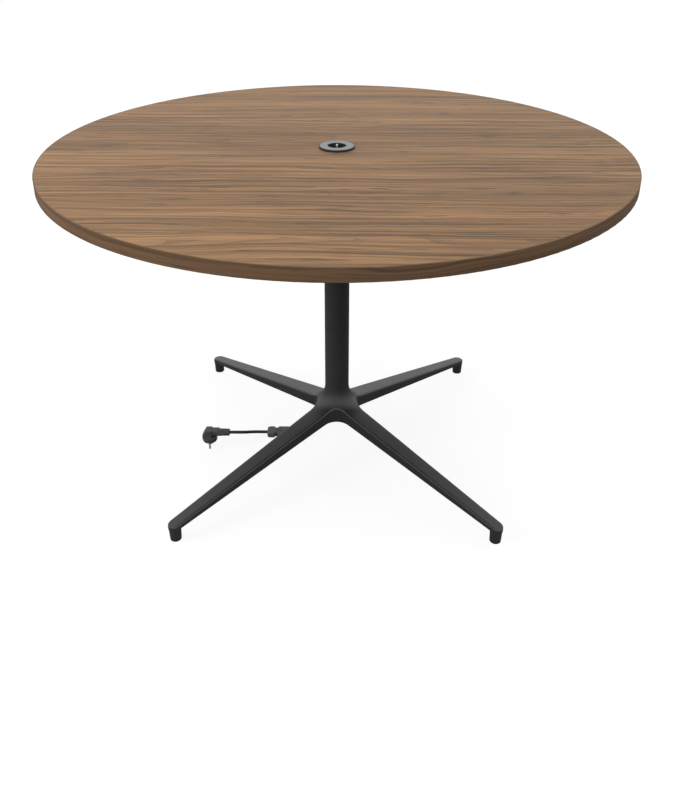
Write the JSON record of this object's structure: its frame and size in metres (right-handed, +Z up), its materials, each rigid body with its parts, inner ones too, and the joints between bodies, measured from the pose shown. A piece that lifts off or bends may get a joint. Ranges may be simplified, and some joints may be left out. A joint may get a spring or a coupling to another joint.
{
  "type": "round conference table with power socket",
  "caption": "Round walnut table on a slender column and splayed cast legs with levelling glides, a socket in the middle of the top and a coiled supply lead.",
  "frame": {"origin": "on the floor, below the middle of the column", "axes": "+Z up; +Y away from the viewer of the picture, with the legs on the diagonals; +X to the viewer's right"},
  "size_m": [1.2, 1.2, 0.7546],
  "materials": {
    "walnut_veneer": "open-pore satin lacquer on walnut",
    "core_board": "raw pressed wood board",
    "coated_casting": "anthracite fine-texture powder coat on cast aluminium",
    "coated_steel": "anthracite fine-texture powder coat on steel tube",
    "zinc_steel": "bright zinc plate",
    "black_plastic": "fine matt moulded black",
    "grey_trim": "satin anodised grey",
    "plug_plastic": "matt moulded black",
    "plated_brass": "nickel plate on brass",
    "cord_jacket": "smooth black cord jacket"
  },
  "bodies": {
    "table": {"top_core": "core_board", "top_veneer": "walnut_veneer", "backing_veneer": "walnut_veneer", "edge_band": "walnut_veneer", "threaded_inserts": "zinc_steel", "support_dish": "coated_casting", "dish_screws": "zinc_steel", "column_tube": "coated_steel", "base_casting": "coated_casting", "socket_housing": "black_plastic", "trim_ring": "grey_trim", "socket_insert": "black_plastic", "earth_pin": "plated_brass", "contact_carrier": "black_plastic", "contact_sleeves": "plated_brass", "clamp_ring": "black_plastic", "feed_cable": "cord_jacket", "cable_gland": "black_plastic", "gland_relief": "cord_jacket", "cord_drop": "cord_jacket", "cord_coil": "cord_jacket", "cord_lead": "cord_jacket", "cord_tail": "cord_jacket", "cord_tie": "black_plastic", "coupler_plug": "plug_plastic", "coupler_socket": "plug_plastic", "coupler_latch": "plug_plastic", "plug_body": "plug_plastic", "plug_sleeve": "plug_plastic", "plug_pins": "plated_brass", "plug_earth_clips": "plated_brass"},
    "glide_front_left": {"glide_pad_front_left": "black_plastic", "glide_stud_front_left": "zinc_steel"},
    "glide_front_right": {"glide_pad_front_right": "black_plastic", "glide_stud_front_right": "zinc_steel"},
    "glide_rear_left": {"glide_pad_rear_left": "black_plastic", "glide_stud_rear_left": "zinc_steel"},
    "glide_rear_right": {"glide_pad_rear_right": "black_plastic", "glide_stud_rear_right": "zinc_steel"},
    "shutter": {"pin_shutter": "black_plastic"}
  },
  "joints": [
    {"name": "glide_front_left_screw", "type": "slide", "parent": "table", "child": "glide_front_left", "axis": [0, 0, -1], "range_m": [0, 0.008]},
    {"name": "glide_front_right_screw", "type": "slide", "parent": "table", "child": "glide_front_right", "axis": [0, 0, -1], "range_m": [0, 0.008]},
    {"name": "glide_rear_left_screw", "type": "slide", "parent": "table", "child": "glide_rear_left", "axis": [0, 0, -1], "range_m": [0, 0.008]},
    {"name": "glide_rear_right_screw", "type": "slide", "parent": "table", "child": "glide_rear_right", "axis": [0, 0, -1], "range_m": [0, 0.008]},
    {"name": "shutter_slide", "type": "slide", "parent": "table", "child": "shutter", "axis": [0, -1, 0], "range_m": [0, 0.008], "stiffness_N_per_m": 200}
  ]
}
